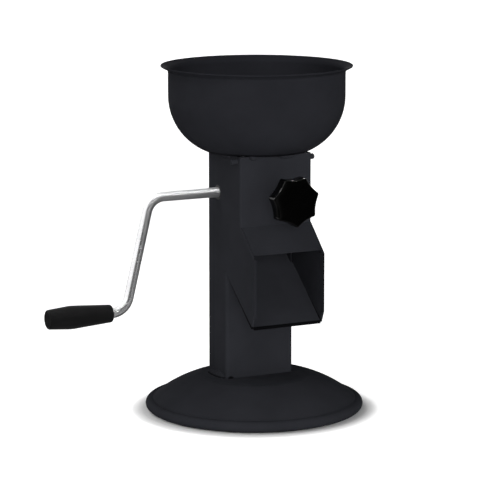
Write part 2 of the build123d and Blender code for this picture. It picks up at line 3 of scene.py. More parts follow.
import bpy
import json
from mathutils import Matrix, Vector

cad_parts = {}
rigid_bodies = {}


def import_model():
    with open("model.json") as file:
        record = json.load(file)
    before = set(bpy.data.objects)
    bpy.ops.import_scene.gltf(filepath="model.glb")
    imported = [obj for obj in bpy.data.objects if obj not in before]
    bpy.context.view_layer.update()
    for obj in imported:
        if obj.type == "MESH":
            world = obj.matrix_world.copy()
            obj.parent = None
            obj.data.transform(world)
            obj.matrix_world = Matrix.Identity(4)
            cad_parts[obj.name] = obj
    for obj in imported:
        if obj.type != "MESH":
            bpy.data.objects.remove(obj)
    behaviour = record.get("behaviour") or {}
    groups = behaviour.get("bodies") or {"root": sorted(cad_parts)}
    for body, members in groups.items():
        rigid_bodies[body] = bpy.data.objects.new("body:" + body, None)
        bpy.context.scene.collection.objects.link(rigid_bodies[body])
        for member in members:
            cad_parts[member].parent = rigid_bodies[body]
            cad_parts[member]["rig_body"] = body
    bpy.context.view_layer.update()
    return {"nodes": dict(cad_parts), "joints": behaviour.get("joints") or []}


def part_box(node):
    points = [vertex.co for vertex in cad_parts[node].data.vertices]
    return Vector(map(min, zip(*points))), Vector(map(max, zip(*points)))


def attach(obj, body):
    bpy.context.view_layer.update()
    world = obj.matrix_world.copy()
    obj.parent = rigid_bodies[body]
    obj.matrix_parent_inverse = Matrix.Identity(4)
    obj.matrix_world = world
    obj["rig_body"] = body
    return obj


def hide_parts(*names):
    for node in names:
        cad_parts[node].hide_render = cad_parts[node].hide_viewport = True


bl_info = {
    "name": "Crank nutcracker looks",
    "version": (1, 0, 0),
    "blender": (4, 5, 0),
    "location": "3D View > Sidebar > Nutcracker",
    "description": "Dresses the crank nutcracker with finishes, welds, thread and knob, and sets up a studio",
    "category": "Object",
}

import json
from math import cos, pi, radians, sin, sqrt, tan

import bmesh
import bpy
from bpy.props import FloatProperty, FloatVectorProperty, IntProperty, PointerProperty
from mathutils import Matrix, Vector

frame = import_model()
WHITE = (1.0, 1.0, 1.0, 1.0)
BLACK = (0.0, 0.0, 0.0, 1.0)

# Name of the rod's attribute that holds the direction along it
ROD_AXIS = "rod_axis"

# Angles and a distance for cleaning, rounding and shading meshes
SMOOTH_ANGLE = radians(35.0)
END_ANGLE = radians(60.0)
FLAT_ANGLE = radians(0.4)
MERGE_DISTANCE = 1e-6

# Fineness of round shapes
BEVEL_SEGMENTS = 2
ROUND_STEPS = 8
BEAD_SIDES = 14
ROD_SIDES = 56
BEND_STEPS = 28
THREAD_SIDES = 6
THREAD_STEPS = 40
SCREW_STEPS = 48
LOBE_STEPS = 32
ARC_STEPS = 64

# Weld beads: step along a ripple as a share of its pitch, scale of the lumps, and how late the ends close
RIPPLE_STEP = 0.2
LUMP_SCALE = 160.0
END_POWER = 4.0

# Usual band of a noise value
NOISE_BAND = (0.3, 0.7)

# Numbers of a colour Mix node's sockets, whose names aren't unique
MIX_FACTOR, MIX_FIRST, MIX_SECOND, MIX_RESULT = 0, 6, 7, 2

# Heights of the normals on the bowl's curved underside, where the seam's painted shade lies: middle of the
# band, and half its width
CURVED_UNDERSIDE = (-0.5, 0.49)

# Width at which the painted shadow along the chute's lower edge is gone, as a share of its full width
CHUTE_LINE_END = 1.5

# Share of the star's outline at which the knob's front starts to dip, and clearance of its bore
DISH_PART = 0.6
BORE_GAP = 0.00002

# Half the width of the floor, and height of the cloth over it
FLOOR_HALF = 12.0
CLOTH_LIFT = 0.0005

# Direction and softness of each light
KEY_LIGHT = ((0.396, 0.888, -0.233), radians(14.0))
FRONT_LIGHT = ((0.0, 0.978, -0.208), radians(45.0))
SIDE_LIGHT = ((0.643, 0.0, -0.766), radians(60.0))
SHINE_LIGHT = ((-0.25, 0.5, -0.82), radians(80.0))


# Settings


def length(label, about, value):
    """Property for a size in metres."""
    return FloatProperty(name=label, description=about, default=value, min=0.0, precision=5, unit="LENGTH")


def number(label, about, value):
    """Property for a plain number from 0 up."""
    return FloatProperty(name=label, description=about, default=value, min=0.0)


def turn(label, about, degrees):
    """Property for an angle, whose default is given in degrees."""
    return FloatProperty(name=label, description=about, default=radians(degrees), subtype="ANGLE")


def vector(label, about, value, **kind):
    """Property for several numbers of one kind."""
    return FloatVectorProperty(name=label, description=about, default=value, size=len(value), **kind)


def span(label, about, *places):
    """Property for two sizes in metres."""
    return vector(label, about, places, precision=5, unit="LENGTH")


def edges(label, about, *degrees):
    """Property for two angles from +Y to the left, whose defaults are given in degrees."""
    return vector(label, about, [radians(angle) for angle in degrees], unit="ROTATION")


def colour(label, about, value):
    """Property for a linear colour."""
    return vector(label, about, value, subtype="COLOR", min=0.0, max=1.0)


class NutcrackerSizes(bpy.types.PropertyGroup):
    """Sizes of the details that the finishes and welds add, and of their painted shade."""

    edge_round: length("Edge round", "Softened edge of cut and bent sheet", 0.0003)
    sheet: length("Sheet", "Thickness of the head's sheet", 0.0015)
    ramp_angle: turn("Ramp angle", "Fall of the chute's ramp", 40.0)
    # Painted shadow along the chute's lower edge, widest at the lip
    chute_line: length("Chute line", "Height of the chute's lower dark line at the lip", 0.0022)
    # Painted shade along the ramp's lip
    lip_line: length("Lip line", "Depth of the dark line along the lip", 0.0006)
    # Painted shade along the seam under the bowl
    seam_line: length("Seam line", "Height of the dark seam under the bowl", 0.0014)
    # Painted shadow along the foot of each bead
    bead_line: length("Foot bead line", "Height of the dark line along a foot bead", 0.0009)
    # Painted shade: a dark spot that stands for the weld pit
    pit_place: length("Pit place", "Distance of the weld pit from the column's left edge", 0.0040)
    pit_radius: length("Pit radius", "Half the width of the weld pit", 0.0032)
    pit_height: length("Pit height", "Height of the weld pit", 0.0026667)
    bead_radius: length("Foot bead radius", "Radius of the beads beside the column's foot", 0.0043)
    bead_inset: length("Foot bead inset", "Depth of a foot bead's middle inside the column's side", 0.0002)
    bead_rise: length("Foot bead rise", "Height of a foot bead's middle over the base", 0.0002)
    bead_taper: number("Bead taper", "Share by which a bead's ends are drawn in", 0.75)
    ripple_pitch: length("Ripple pitch", "Spacing of the ripples of a weld bead", 0.0026)
    ripple_height: number("Ripple height", "Height of a ripple as a share of the bead's radius", 0.05)
    lump_height: number("Lump height", "Unevenness of a bead as a share of its radius", 0.35)
    tack_radius: length("Tack radius", "Radius of the short beads under the bowl", 0.0026)
    tack_offset: length("Tack offset", "Distance of a short bead's middle from the sheets", 0.0006)
    left_tack: span("Left tack", "Middle of the left front bead, and half its length", -0.0205, 0.0035)
    right_tack: span("Right tack", "Middle of the right front bead, and half its length", 0.0095, 0.0075)
    side_tack: span("Side tack", "Distance of a side bead from the rear, and half its length", 0.012, 0.007)
    rear_tack: length("Rear tack", "Half the length of the rear bead", 0.012)
    rod_radius: length("Rod radius", "Radius of the crank rod", 0.004)
    rod_corner: length("Rod corner", "Distance of the crank's upper corner from the middle", 0.0909)
    rod_splay: length("Rod splay", "Outward lean of the crank's arm", 0.0222)
    rod_bend: length("Rod bend", "Bend radius of the crank rod", 0.015)
    rod_edge: length("Rod edge", "Chamfer at the rod's ends", 0.0006)
    thread_pitch: length("Thread pitch", "Pitch of the adjusting screw", 0.00125)
    thread_depth: length("Thread depth", "Depth of the adjusting screw's thread", 0.0007)
    ridge_depth: length("Ridge depth", "Depth of the thread's ridge, which sinks into the core", 0.000805)
    screw_radius: length("Screw radius", "Outer radius of the adjusting screw", 0.004)
    nose_radius: length("Nose radius", "Radius of the screw's turned nose", 0.0025)
    nose_length: length("Nose length", "Length of the screw's turned nose", 0.0015)
    knob_radius: length("Knob radius", "Radius over the knob's lobes", 0.0204)
    knob_lobe: length("Knob lobe", "Radius of a lobe's tip", 0.0022)
    knob_scallop: length("Knob scallop", "Depth of the hollows between the lobes", 0.00275)
    knob_head: length("Knob head", "Thickness of the lobed head", 0.0101)
    knob_hub: length("Knob hub", "Radius of the round hub", 0.009)
    knob_edge: length("Knob edge", "Rounding of the head's front edge", 0.0014)
    knob_dish: length("Knob dish", "Depth of the shallow hollow in the knob's front", 0.0003)
    knob_lobes: IntProperty(name="Knob lobes", description="Number of lobes", default=7, min=3)
    knob_turn: turn("Knob turn", "Angle of the first lobe", 66.8)


class NutcrackerFinishes(bpy.types.PropertyGroup):
    """Colours of the finishes, and the shares of their painted shade."""

    paint: colour("Paint", "Satin anthracite paint", (0.0212, 0.0220, 0.0260))
    # Painted shade: the bowl's colour is the frame paint darkened
    bowl: colour("Bowl", "Paint of the bowl, a little darker", (0.0157, 0.0162, 0.0195))
    bright_steel: colour("Bright steel", "Polished crank rod", (0.80, 0.80, 0.81))
    plain_steel: colour("Plain steel", "Machined rotor and jaw", (0.40, 0.40, 0.41))
    zinc: colour("Zinc", "Zinc-plated fasteners", (0.52, 0.53, 0.56))
    knob: colour("Knob", "Gloss black moulding", (0.0003, 0.0003, 0.0003))
    grip: colour("Grip", "Semi-matt black moulding", (0.0060, 0.0060, 0.0062))
    nylon: colour("Nylon", "Dark bearing plastic", (0.012, 0.012, 0.013))
    rubber: colour("Rubber", "Mat under the base", (0.012, 0.012, 0.012))
    # Painted shade: share of its colour that the paint keeps in each dark line
    line_tone: number("Line tone", "Share of its colour that paint keeps in a dark line", 0.12)
    # Painted shade on the cheeks' front edges, darker on the right cheek
    left_edge_shade: number("Left edge shade", "Darkness of the left cheek's front edge", 0.25)
    right_edge_shade: number("Right edge shade", "Darkness of the right cheek's front edge", 0.75)
    # Painted shade on the foot beads: the whole bead darkened, and a painted shadow along its foot
    bead_shade: number("Foot bead shade", "Dullness of the foot beads", 0.18)
    bead_line_shade: number("Foot bead line shade", "Darkness of the line along a foot bead", 0.65)
    # Painted shade along the seam under the bowl
    seam_shade: number("Seam shade", "Darkness of the seam under the bowl", 0.60)
    arm_wear: number("Arm wear", "Share by which the crank's arm is smoother than its shaft", 0.42)


class NutcrackerStudio(bpy.types.PropertyGroup):
    """Camera, lamps, floor, and what only reflections show."""

    camera_place: vector(
        "Camera", "Place of the camera", (-0.9243, -1.8042, 0.5041), subtype="XYZ", unit="LENGTH"
    )
    camera_turn: turn("Camera turn", "Heading of the camera from +Y towards +X", 27.03)
    camera_pitch: turn("Camera pitch", "Downward tilt of the camera", 10.35)
    camera_lens: number("Lens", "Focal length in millimetres on a 36 mm sensor", 181.64)
    key_power: number("Key power", "Strength of the main lamp", 0.8)
    fill_power: number("Fill power", "Strength of the front lamp that casts no shadow", 1.1)
    front_power: number("Front power", "Strength of the front lamp that casts a soft shadow", 0.75)
    side_power: number("Side power", "Strength of the high lamp at the left", 1.40)
    shine_power: number("Shine power", "Strength of the lamp that shows only as a shine", 1.5)
    ambient: number("Ambient", "Soft light from all round", 0.04)
    floor_shade: colour("Floor", "Pale studio floor", (0.88, 0.88, 0.88))
    floor_glow: number("Floor glow", "Share of white that the floor shows by itself", 0.74)
    floor_bounce: number("Floor bounce", "Soft light that the floor gives back to the object", 0.34)
    shadow_reach: length("Shadow reach", "Width of the contact shadow on the floor", 0.0145)
    shadow_depth: number("Shadow depth", "How fast the contact shadow darkens towards the object", 8.0)
    cloth_radius: length("Cloth radius", "Radius of the dark cloth on the floor", 2.0)
    cloth_dark: number("Cloth dark", "Shade of the cloth and of the rear drop", 0.08)
    cloth_middle: length("Cloth middle", "Radius of the cloth's grey middle", 0.3)
    cloth_grey: number("Cloth grey", "Shade of the cloth's middle", 0.3)
    rear_radius: length("Rear radius", "Distance of the dark drop behind the set", 0.30)
    rear_height: length("Rear height", "Height of the rear drop", 0.28)
    rear_edges: edges("Rear edges", "Edges of the rear drop", -80.0, 8.0)
    screen_radius: length("Screen radius", "Distance of the dark drop in front of the set", 0.5)
    screen_dark: number("Screen dark", "Shade of the front drop", 0.03)
    screen_height: length("Screen height", "Height of the front drop and of the strip before it", 1.10)
    screen_edges: edges("Screen edges", "Edges of the front drop", 130.0, 250.0)
    strip_radius: length("Strip radius", "Distance of the pale strip before the front drop", 0.48)
    strip_glow: number("Strip glow", "Brightness of the strip", 0.6)
    strip_edges: edges("Strip edges", "Edges of the strip", 187.0, 197.0)
    card_radius: length("Card radius", "Distance of the bright card at the left", 0.6)
    card_glow: number("Card glow", "Brightness of the card", 1.22)
    card_heights: span("Card heights", "Heights of the card's lower and upper edge", 0.05, 0.9)
    card_edges: edges("Card edges", "Side edges of the card", 30.0, 124.0)
    window_radius: length("Window radius", "Distance of the small window before the card", 0.58)
    window_glow: number("Window glow", "Brightness of the window", 30.0)
    window_heights: span("Window heights", "Heights of the window's lower and upper edge", 0.62, 0.80)
    window_edges: edges("Window edges", "Side edges of the window", 55.0, 68.0)


def settings(context):
    """Sizes, finishes and studio of the scene."""
    scene = context.scene
    return scene.nutcracker_sizes, scene.nutcracker_finishes, scene.nutcracker_studio


# Node helpers


def feed(tree, node, inputs):
    """Feeds a node's inputs: a plain value is set, and another node's output is linked."""
    for name, value in inputs.items():
        if isinstance(value, bpy.types.NodeSocket):
            tree.links.new(value, node.inputs[name])
        else:
            node.inputs[name].default_value = value


def add_node(tree, kind, inputs=None, **fields):
    """Adds a node, sets its fields and feeds its inputs; gives its outputs."""
    node = tree.nodes.new(kind)
    for name, value in fields.items():
        setattr(node, name, value)
    feed(tree, node, inputs or {})
    return node.outputs


def calc(tree, operation, *operands):
    """Math node; each operand is a number or a socket."""
    return add_node(tree, "ShaderNodeMath", dict(enumerate(operands)), operation=operation)[0]


def times(tree, first, second):
    """Product of two numbers or sockets."""
    return calc(tree, "MULTIPLY", first, second)


def new_material(name, levels):
    """Material, its tree and its shader with some inputs set; one that exists comes alone."""
    material = bpy.data.materials.get(name)
    if material is not None:
        return material, None, None
    material = bpy.data.materials.new(name)
    material.use_nodes = True
    tree = material.node_tree
    shader = tree.nodes["Principled BSDF"]
    feed(tree, shader, levels)
    return material, tree, shader


def object_noise(tree, scale, detail=2.0, stretch=(1.0, 1.0, 1.0)):
    """Noise on Object coordinates, stretched along the axes; gives its value socket."""
    place = add_node(tree, "ShaderNodeTexCoord")
    mapping = add_node(tree, "ShaderNodeMapping", {"Vector": place["Object"], "Scale": stretch})
    inputs = {"Vector": mapping["Vector"], "Scale": scale, "Detail": detail}
    return add_node(tree, "ShaderNodeTexNoise", inputs)["Fac"]


def object_axes(tree, output="Object"):
    """X, Y and Z sockets of the Object coordinates, or of the normal in the same axes."""
    place = add_node(tree, "ShaderNodeTexCoord")
    return add_node(tree, "ShaderNodeSeparateXYZ", {"Vector": place[output]})


def past(tree, axis, start):
    """Distance along an axis of the Object coordinates, from a start."""
    return calc(tree, "SUBTRACT", object_axes(tree)[axis], start)


def remap(tree, value, band, low, high, kind="LINEAR"):
    """Maps a band of values to a range; values outside the band stay at the range's ends."""
    inputs = {"Value": value, "From Min": band[0], "From Max": band[1], "To Min": low, "To Max": high}
    return add_node(tree, "ShaderNodeMapRange", inputs, interpolation_type=kind)["Result"]


def spread(tree, value, low, high):
    """Maps a noise value from its usual band to a range."""
    return remap(tree, value, NOISE_BAND, low, high)


def fade(tree, value, first, last):
    """1 up to the first value, 0 from the last one on, and smooth between."""
    return remap(tree, value, (first, last), 1.0, 0.0, "SMOOTHSTEP")


def stripe(tree, value, width):
    """1 up to a width, and 0 from twice the width on."""
    return fade(tree, value, width, 2 * width)


def tone(base, part):
    """Share of a colour."""
    return (*(channel * part for channel in base), 1.0)


def blend(tree, part, first, second):
    """Colour between two others; each of the three values is plain or a socket."""
    inputs = {MIX_FACTOR: part, MIX_FIRST: first, MIX_SECOND: second}
    return add_node(tree, "ShaderNodeMix", inputs, data_type="RGBA")[MIX_RESULT]


def tint(tree, value, base, dark, light):
    """Colour that varies with a noise value between a darker and a lighter share of a base colour."""
    return blend(tree, spread(tree, value, 0.0, 1.0), tone(base, dark), tone(base, light))


def surface(tree, shader, coat, rough, grain, depth):
    """Feeds a shader its colour, its roughness and a relief of a depth in metres."""
    bump = add_node(tree, "ShaderNodeBump", {"Height": grain, "Distance": depth})
    feed(tree, shader, {"Base Color": coat, "Roughness": rough, "Normal": bump["Normal"]})


# Finishes


def finish(name, base, levels, mottle, tints, patches, rough, grain, depth, mask=None, dark=1.0):
    """Finish with a mottled colour, patches of roughness and a grain.

    Each noise is a scale, a detail and, where it has one, a stretch. The tints are shares of the base colour,
    and so is the dark tone of painted shade where a function gives a mask.
    """
    material, tree, shader = new_material(name, levels)
    if tree is None:
        return material
    coat = tint(tree, object_noise(tree, *mottle), base, *tints)
    # Painted shade, where a mask is given
    if mask is not None:
        coat = blend(tree, mask(tree), coat, tone(base, dark))
    uneven = spread(tree, object_noise(tree, *patches), *rough)
    surface(tree, shader, coat, uneven, object_noise(tree, *grain), depth)
    return material


def satin_paint(name, finishes, base, mask=None):
    """Baked satin paint with fine orange peel and, where a mask is given, a dark line of painted shade."""
    look = {"mottle": (26.0, 4.0), "tints": (0.90, 1.10), "patches": (70.0, 3.0), "rough": (0.50, 0.60)}
    # Painted shade: the mask darkens the paint to the line tone
    line = {"mask": mask, "dark": finishes.line_tone}
    return finish(name, base, {"Specular IOR Level": 0.004}, **look, grain=(620.0, 2.0), depth=4e-5, **line)


def frame_paint(finishes):
    """Paint of the base, the front plate, the pivot pin and the short beads."""
    return satin_paint("satin_paint", finishes, finishes.paint)


def cheek_paint(node, finishes, sizes, front_shade):
    """Paint of a cheek with painted shade: a darkened front edge, and a painted shadow along the lower edge
    that widens towards the lip.
    """
    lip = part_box("chute_ramp")[0]
    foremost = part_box(node)[0].y
    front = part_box("column")[0].y

    def line(tree):
        # Painted shadow along the lower edge, wider the further it stands in front of the column, and painted
        # shade on the front edge
        rise = times(tree, past(tree, "Y", lip.y), tan(sizes.ramp_angle))
        off = calc(tree, "ABSOLUTE", calc(tree, "SUBTRACT", past(tree, "Z", lip.z), rise))
        width = times(tree, past(tree, "Y", front), sizes.chute_line / (lip.y - front))
        widths = calc(tree, "DIVIDE", off, calc(tree, "MAXIMUM", width, MERGE_DISTANCE))
        lower = fade(tree, widths, 1.0, CHUTE_LINE_END)
        edge = stripe(tree, past(tree, "Y", foremost), sizes.edge_round)
        return calc(tree, "MAXIMUM", lower, times(tree, edge, front_shade))

    return satin_paint(node + "_paint", finishes, finishes.paint, line)


def ramp_paint(finishes, sizes):
    """Paint of the ramp, with a dark line of painted shade along its lip."""
    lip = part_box("chute_ramp")[0]

    def line(tree):
        # Painted shade along the lip
        return stripe(tree, past(tree, "Y", lip.y), sizes.lip_line)

    return satin_paint("ramp_paint", finishes, finishes.paint, line)


def bead_paint(finishes, sizes):
    """Paint of the foot beads, darkened all over by painted shade, with a painted shadow along the base."""
    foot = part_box("column")[0]

    # Painted shade: a dark line along the base, and the whole bead darkened
    def line(tree):
        edge = stripe(tree, past(tree, "Z", foot.z), sizes.bead_line)
        dark = times(tree, edge, finishes.bead_line_shade)
        return calc(tree, "MAXIMUM", dark, finishes.bead_shade)

    return satin_paint("bead_paint", finishes, finishes.paint, line)


def column_paint(finishes, sizes):
    """Paint of the column, with a small dark spot of painted shade for the pit where the left bead ends at
    its front.
    """
    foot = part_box("column")[0]

    def pit(tree):
        # Painted shade of the pit, on the column's front only
        along = past(tree, "X", foot.x + sizes.pit_place)
        over = times(tree, past(tree, "Z", foot.z), sizes.pit_radius / sizes.pit_height)
        squares = calc(tree, "ADD", times(tree, along, along), times(tree, over, over))
        spot = stripe(tree, calc(tree, "SQRT", squares), sizes.pit_radius / 2)
        return times(tree, spot, calc(tree, "LESS_THAN", object_axes(tree)["Y"], 0.0))

    return satin_paint("column_paint", finishes, finishes.paint, pit)


def bowl_paint(finishes, sizes):
    """Paint of the bowl, with painted shade along the seam where its curved underside meets the head."""
    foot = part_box("hopper_bowl")[0]

    def seam(tree):
        # Painted shade along the seam
        edge = stripe(tree, past(tree, "Z", foot.z), sizes.seam_line)
        under = calc(tree, "COMPARE", object_axes(tree, "Normal")["Z"], *CURVED_UNDERSIDE)
        return times(tree, times(tree, edge, under), finishes.seam_shade)

    return satin_paint("bowl_paint", finishes, finishes.bowl, seam)


def polished_steel(finishes, sizes):
    """Bright rod: its shine spreads along it, and it is worn smoother from the upper bend on."""
    material, tree, shader = new_material("polished_steel", {"Metallic": 0.95, "Anisotropic": 0.8})
    if tree is None:
        return material
    axis = add_node(tree, "ShaderNodeAttribute", attribute_name=ROD_AXIS)
    kind = {"vector_type": "VECTOR", "convert_from": "OBJECT", "convert_to": "WORLD"}
    turned = add_node(tree, "ShaderNodeVectorTransform", {"Vector": axis["Vector"]}, **kind)
    feed(tree, shader, {"Tangent": turned["Vector"]})
    bend = -sizes.rod_corner
    arm = fade(tree, object_axes(tree)["X"], bend - sizes.rod_bend, bend + sizes.rod_bend)
    plain = spread(tree, object_noise(tree, scale=260.0, detail=4.0), low=0.42, high=0.47)
    rough = calc(tree, "MULTIPLY_ADD", plain, times(tree, arm, -finishes.arm_wear), plain)
    mottle = object_noise(tree, scale=90.0, detail=3.0)
    coat = tint(tree, mottle, finishes.bright_steel, dark=0.94, light=1.06)
    surface(tree, shader, coat, rough, object_noise(tree, scale=900.0), depth=8e-6)
    return material


def machined_steel(finishes):
    """Milled steel with tool marks along X, which show in its colour and its grain."""
    marks = (90.0, 5.0, (0.12, 8.0, 8.0))
    look = {"mottle": marks, "tints": (0.78, 1.15), "patches": (60.0, 3.0), "rough": (0.26, 0.42)}
    return finish("machined_steel", finishes.plain_steel, {"Metallic": 1.0}, **look, grain=marks, depth=3e-5)


def zinc_plate(finishes):
    """Zinc plating with a cloudy, slightly cold surface."""
    look = {"mottle": (160.0, 4.0), "tints": (0.84, 1.12), "patches": (110.0, 3.0), "rough": (0.28, 0.44)}
    return finish("zinc_plate", finishes.zinc, {"Metallic": 1.0}, **look, grain=(700.0, 2.0), depth=2e-5)


# Mouldings by the name of their colour: name, gloss, range of roughness, and scale and depth of the grain
MOULDINGS = {
    "knob": ("gloss_plastic", 0.2, (0.10, 0.16), 420.0, 1e-5),
    "grip": ("grip_moulding", 0.05, (0.32, 0.42), 1400.0, 3e-5),
    "nylon": ("bush_nylon", 0.3, (0.48, 0.60), 900.0, 3e-5),
    "rubber": ("mat_rubber", 0.2, (0.75, 0.90), 520.0, 8e-5),
}


def moulding(kind, finishes):
    """Moulded plastic or rubber of one of the kinds above."""
    name, gloss, rough, grain, depth = MOULDINGS[kind]
    base = getattr(finishes, kind)
    look = {"mottle": (80.0, 3.0), "tints": (0.88, 1.12), "patches": (130.0, 3.0), "grain": (grain, 2.0)}
    return finish(name, base, {"Specular IOR Level": gloss}, **look, rough=rough, depth=depth)


# Frame and mesh helpers


def joint_place(name):
    """Point on a joint's axis, from the frame."""
    joint = next(j for j in frame["joints"] if j["name"] == name)
    return Vector(joint["pos_m"])


def body_of(node):
    """Name of the body that carries a node."""
    return frame["nodes"][node]["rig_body"]


def shade(mesh):
    """Smooth shading with sharp edges kept."""
    mesh.shade_smooth()
    mesh.set_sharp_from_angle(angle=SMOOTH_ANGLE)


def link(name, data):
    """New object at the origin."""
    piece = bpy.data.objects.new(name, data)
    bpy.context.scene.collection.objects.link(piece)
    return piece


def bake(piece):
    """Turns an object with modifiers into a plain mesh."""
    bpy.context.view_layer.update()
    graph = bpy.context.evaluated_depsgraph_get()
    made = piece.evaluated_get(graph)
    mesh = bpy.data.meshes.new_from_object(made, preserve_all_data_layers=True, depsgraph=graph)
    piece.modifiers.clear()
    piece.data = mesh
    return piece


def dress(piece, material, slot, *nodes):
    """Gives a finished piece its material and puts it in the place of its nodes."""
    piece.data.materials.clear()
    piece.data.materials.append(material)
    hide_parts(*nodes)
    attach(piece, body_of(nodes[0]))


def round_edges(piece, name, width, angle):
    """Adds a modifier that rounds the edges that are sharper than an angle."""
    bevel = piece.modifiers.new(name, "BEVEL")
    bevel.width = width
    bevel.segments = BEVEL_SEGMENTS
    bevel.limit_method = "ANGLE"
    bevel.angle_limit = angle


def softened(node, name, material, slot, round_by):
    """Puts a copy with rounded cut edges and smooth curves in the place of a node."""
    mesh = frame["nodes"][node].data.copy()
    shape = bmesh.new()
    shape.from_mesh(mesh)
    bmesh.ops.remove_doubles(shape, verts=shape.verts, dist=MERGE_DISTANCE)
    bmesh.ops.dissolve_limit(shape, angle_limit=FLAT_ANGLE, verts=shape.verts, edges=shape.edges)
    shape.to_mesh(mesh)
    shape.free()
    for layer in ("custom_normal", "sharp_face", "sharp_edge"):
        if layer in mesh.attributes:
            mesh.attributes.remove(mesh.attributes[layer])
    shade(mesh)
    piece = link(name, mesh)
    round_edges(piece, "edge_round", round_by, SMOOTH_ANGLE)
    weigh = piece.modifiers.new("flat_faces", "WEIGHTED_NORMAL")
    weigh.keep_sharp = True
    dress(bake(piece), material, slot, node)


def keep(node, material):
    """Gives a node that stays as it is a better material."""
    mesh = frame["nodes"][node].data
    mesh.materials.clear()
    mesh.materials.append(material)


def merge(piece, *others):
    """Joins the meshes of other objects into a piece and removes them."""
    shape = bmesh.new()
    for part in (piece, *others):
        shape.from_mesh(part.data)
    mesh = bpy.data.meshes.new(piece.name)
    shape.to_mesh(mesh)
    shape.free()
    piece.data = mesh
    for other in others:
        bpy.data.objects.remove(other)
    shade(mesh)
    return piece


def skin(name, shape, rings):
    """Object of a shape, with faces between its rings of vertices; a ring of one vertex is a point."""
    steps = max(len(ring) for ring in rings)
    for lower, upper in zip(rings, rings[1:]):
        for i in range(steps):
            j = (i + 1) % steps
            corners = ((lower, i), (lower, j), (upper, j), (upper, i))
            shape.faces.new(list(dict.fromkeys(ring[step % len(ring)] for ring, step in corners)))
    bmesh.ops.recalc_face_normals(shape, faces=shape.faces)
    mesh = bpy.data.meshes.new(name)
    shape.to_mesh(mesh)
    shape.free()
    shade(mesh)
    return link(name, mesh)


def full_turn(steps):
    """Angles of the steps of a full turn."""
    return [2 * pi * i / steps for i in range(steps)]


def lathe(name, outline, steps, place):
    """Solid of revolution of (radius, height) points about Z, moved by a matrix; its ends are at the axis."""
    shape = bmesh.new()
    rings = []
    for radius, height in outline:
        angles = full_turn(steps) if radius else [0.0]
        points = [Vector((radius * cos(angle), radius * sin(angle), height)) for angle in angles]
        rings.append([shape.verts.new(place @ point) for point in points])
    return skin(name, shape, rings)


# Geometry trees that follow a path


def new_tree(name, sizes):
    """Geometry tree with inputs for a path, sizes and a material; gives the tree and its inputs."""
    tree = bpy.data.node_groups.new(name, "GeometryNodeTree")
    numbers = [(label, "Float") for label in sizes]
    for label, kind in (("Geometry", "Geometry"), *numbers, ("Material", "Material")):
        tree.interface.new_socket(label, in_out="INPUT", socket_type="NodeSocket" + kind)
    tree.interface.new_socket("Geometry", in_out="OUTPUT", socket_type="NodeSocketGeometry")
    return tree, add_node(tree, "NodeGroupInput")


def finish_tree(tree, geometry, material):
    """Ends a tree: smooth shading, real geometry and the material."""
    smooth = add_node(tree, "GeometryNodeSetShadeSmooth", {"Geometry": geometry})
    real = add_node(tree, "GeometryNodeRealizeInstances", {"Geometry": smooth["Geometry"]})
    painted = {"Geometry": real["Geometry"], "Material": material}
    paint = add_node(tree, "GeometryNodeSetMaterial", painted)
    add_node(tree, "NodeGroupOutput", {"Geometry": paint["Geometry"]})
    return tree


def tube(tree, curve, radius, sides):
    """Sweeps a round section along a curve, scaled by a radius socket."""
    ring = add_node(tree, "GeometryNodeCurvePrimitiveCircle", {"Resolution": sides})
    swept = {"Curve": curve, "Profile Curve": ring["Curve"], "Scale": radius, "Fill Caps": True}
    return add_node(tree, "GeometryNodeCurveToMesh", swept)["Mesh"]


def bead_tree():
    """Weld bead along a path: rippled, lumpy and drawn in at its ends."""
    tree = bpy.data.node_groups.get("weld_bead")
    if tree is not None:
        return tree
    tree, start = new_tree("weld_bead", ("Radius", "Pitch", "Ripple", "Lump", "Taper"))
    line = add_node(tree, "GeometryNodeMeshToCurve", {"Mesh": start["Geometry"]})
    evenly = {"Curve": line["Curve"], "Length": times(tree, start["Pitch"], RIPPLE_STEP)}
    even = add_node(tree, "GeometryNodeResampleCurve", evenly, mode="LENGTH")
    along = add_node(tree, "GeometryNodeSplineParameter")
    turns = calc(tree, "DIVIDE", along["Length"], start["Pitch"])
    wave = calc(tree, "SINE", times(tree, turns, 2.0 * pi))
    place = add_node(tree, "GeometryNodeInputPosition")
    rough = add_node(tree, "ShaderNodeTexNoise", {"Vector": place["Position"], "Scale": LUMP_SCALE})
    uneven = calc(tree, "SUBTRACT", rough["Fac"], sum(NOISE_BAND) / 2)
    ripple = times(tree, wave, start["Ripple"])
    lump = times(tree, uneven, start["Lump"])
    swell = calc(tree, "ADD", 1.0, calc(tree, "ADD", ripple, lump))
    middle = calc(tree, "SUBTRACT", times(tree, along["Factor"], 2.0), 1.0)
    closing = calc(tree, "POWER", calc(tree, "ABSOLUTE", middle), END_POWER)
    ends = calc(tree, "SUBTRACT", 1.0, times(tree, closing, start["Taper"]))
    radius = times(tree, start["Radius"], times(tree, swell, ends))
    return finish_tree(tree, tube(tree, even["Curve"], radius, BEAD_SIDES), start["Material"])


def rod_tree():
    """Round rod along a path with bent corners, which notes the direction along it."""
    tree, start = new_tree("bent_rod", ("Radius", "Bend"))
    line = add_node(tree, "GeometryNodeMeshToCurve", {"Mesh": start["Geometry"]})
    corners = {"Curve": line["Curve"], "Count": BEND_STEPS, "Radius": start["Bend"]}
    bent = add_node(tree, "GeometryNodeFilletCurve", corners, mode="POLY")
    along = add_node(tree, "GeometryNodeInputTangent")
    note = {"Geometry": bent["Curve"], "Name": ROD_AXIS, "Value": along["Tangent"]}
    noted = add_node(tree, "GeometryNodeStoreNamedAttribute", note, data_type="FLOAT_VECTOR")
    rod = tube(tree, noted["Geometry"], start["Radius"], ROD_SIDES)
    return finish_tree(tree, rod, start["Material"])


